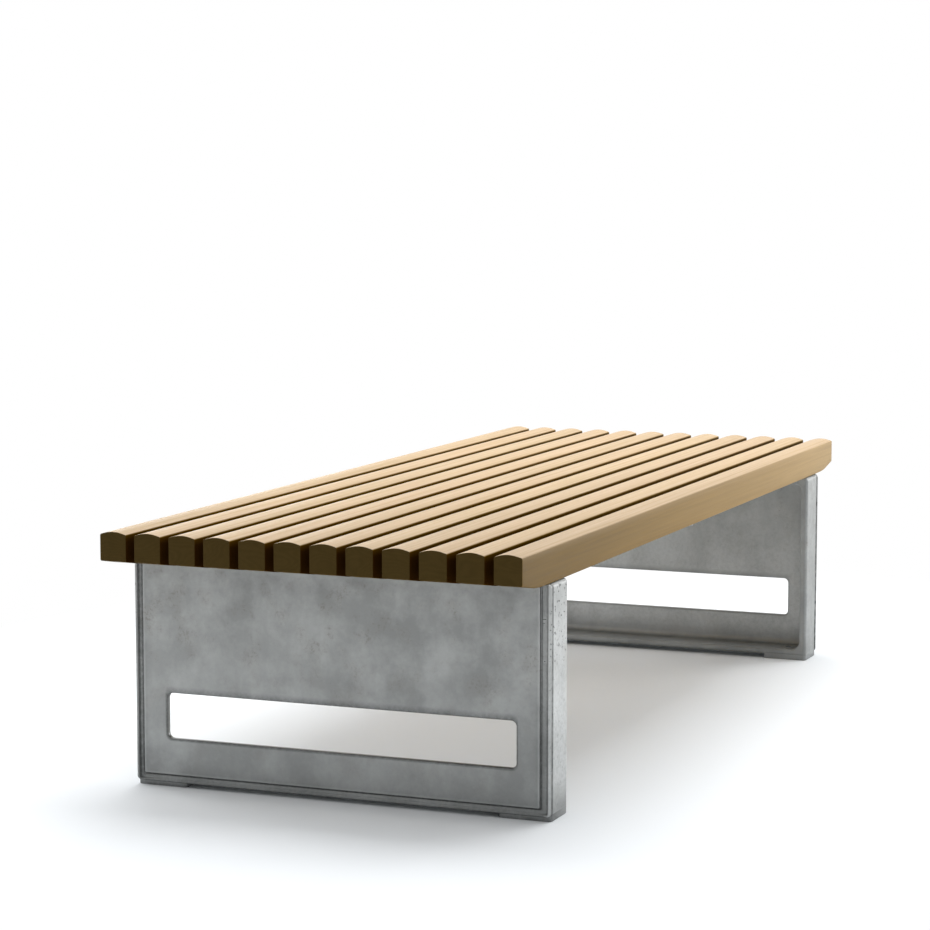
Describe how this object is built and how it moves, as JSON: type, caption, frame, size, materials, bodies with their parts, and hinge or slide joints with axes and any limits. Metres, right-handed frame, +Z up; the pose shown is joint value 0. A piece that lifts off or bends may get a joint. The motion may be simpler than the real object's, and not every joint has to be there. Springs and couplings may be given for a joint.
{
  "type": "garden bench",
  "caption": "Low backless garden bench with long crowned wooden slats side by side on two slotted cast metal legs.",
  "frame": {"origin": "on the floor, at the centre of the bench's footprint", "axes": "+X along the slats, from leg_1 to leg_2; +Y across the slats, from slat_12 to slat_01; +Z up"},
  "size_m": [1.8, 0.724, 0.4338],
  "materials": {
    "wood": "oiled hardwood, planed, with fine straight grain",
    "cast_aluminium": "raw sand casting, dull, mottled and lightly pitted",
    "fastener_steel": "plain stainless steel",
    "bar_steel": "flat stainless bar, brushed along its length"
  },
  "bodies": {
    "root": {"slat_01": "wood", "slat_02": "wood", "slat_03": "wood", "slat_04": "wood", "slat_05": "wood", "slat_06": "wood", "slat_07": "wood", "slat_08": "wood", "slat_09": "wood", "slat_10": "wood", "slat_11": "wood", "slat_12": "wood", "leg_1": "cast_aluminium", "leg_2": "cast_aluminium", "slat_screws_1": "fastener_steel", "slat_screws_2": "fastener_steel", "slat_washers_1": "fastener_steel", "slat_washers_2": "fastener_steel", "tie_bar": "bar_steel", "tie_screws": "fastener_steel"}
  },
  "joints": []
}
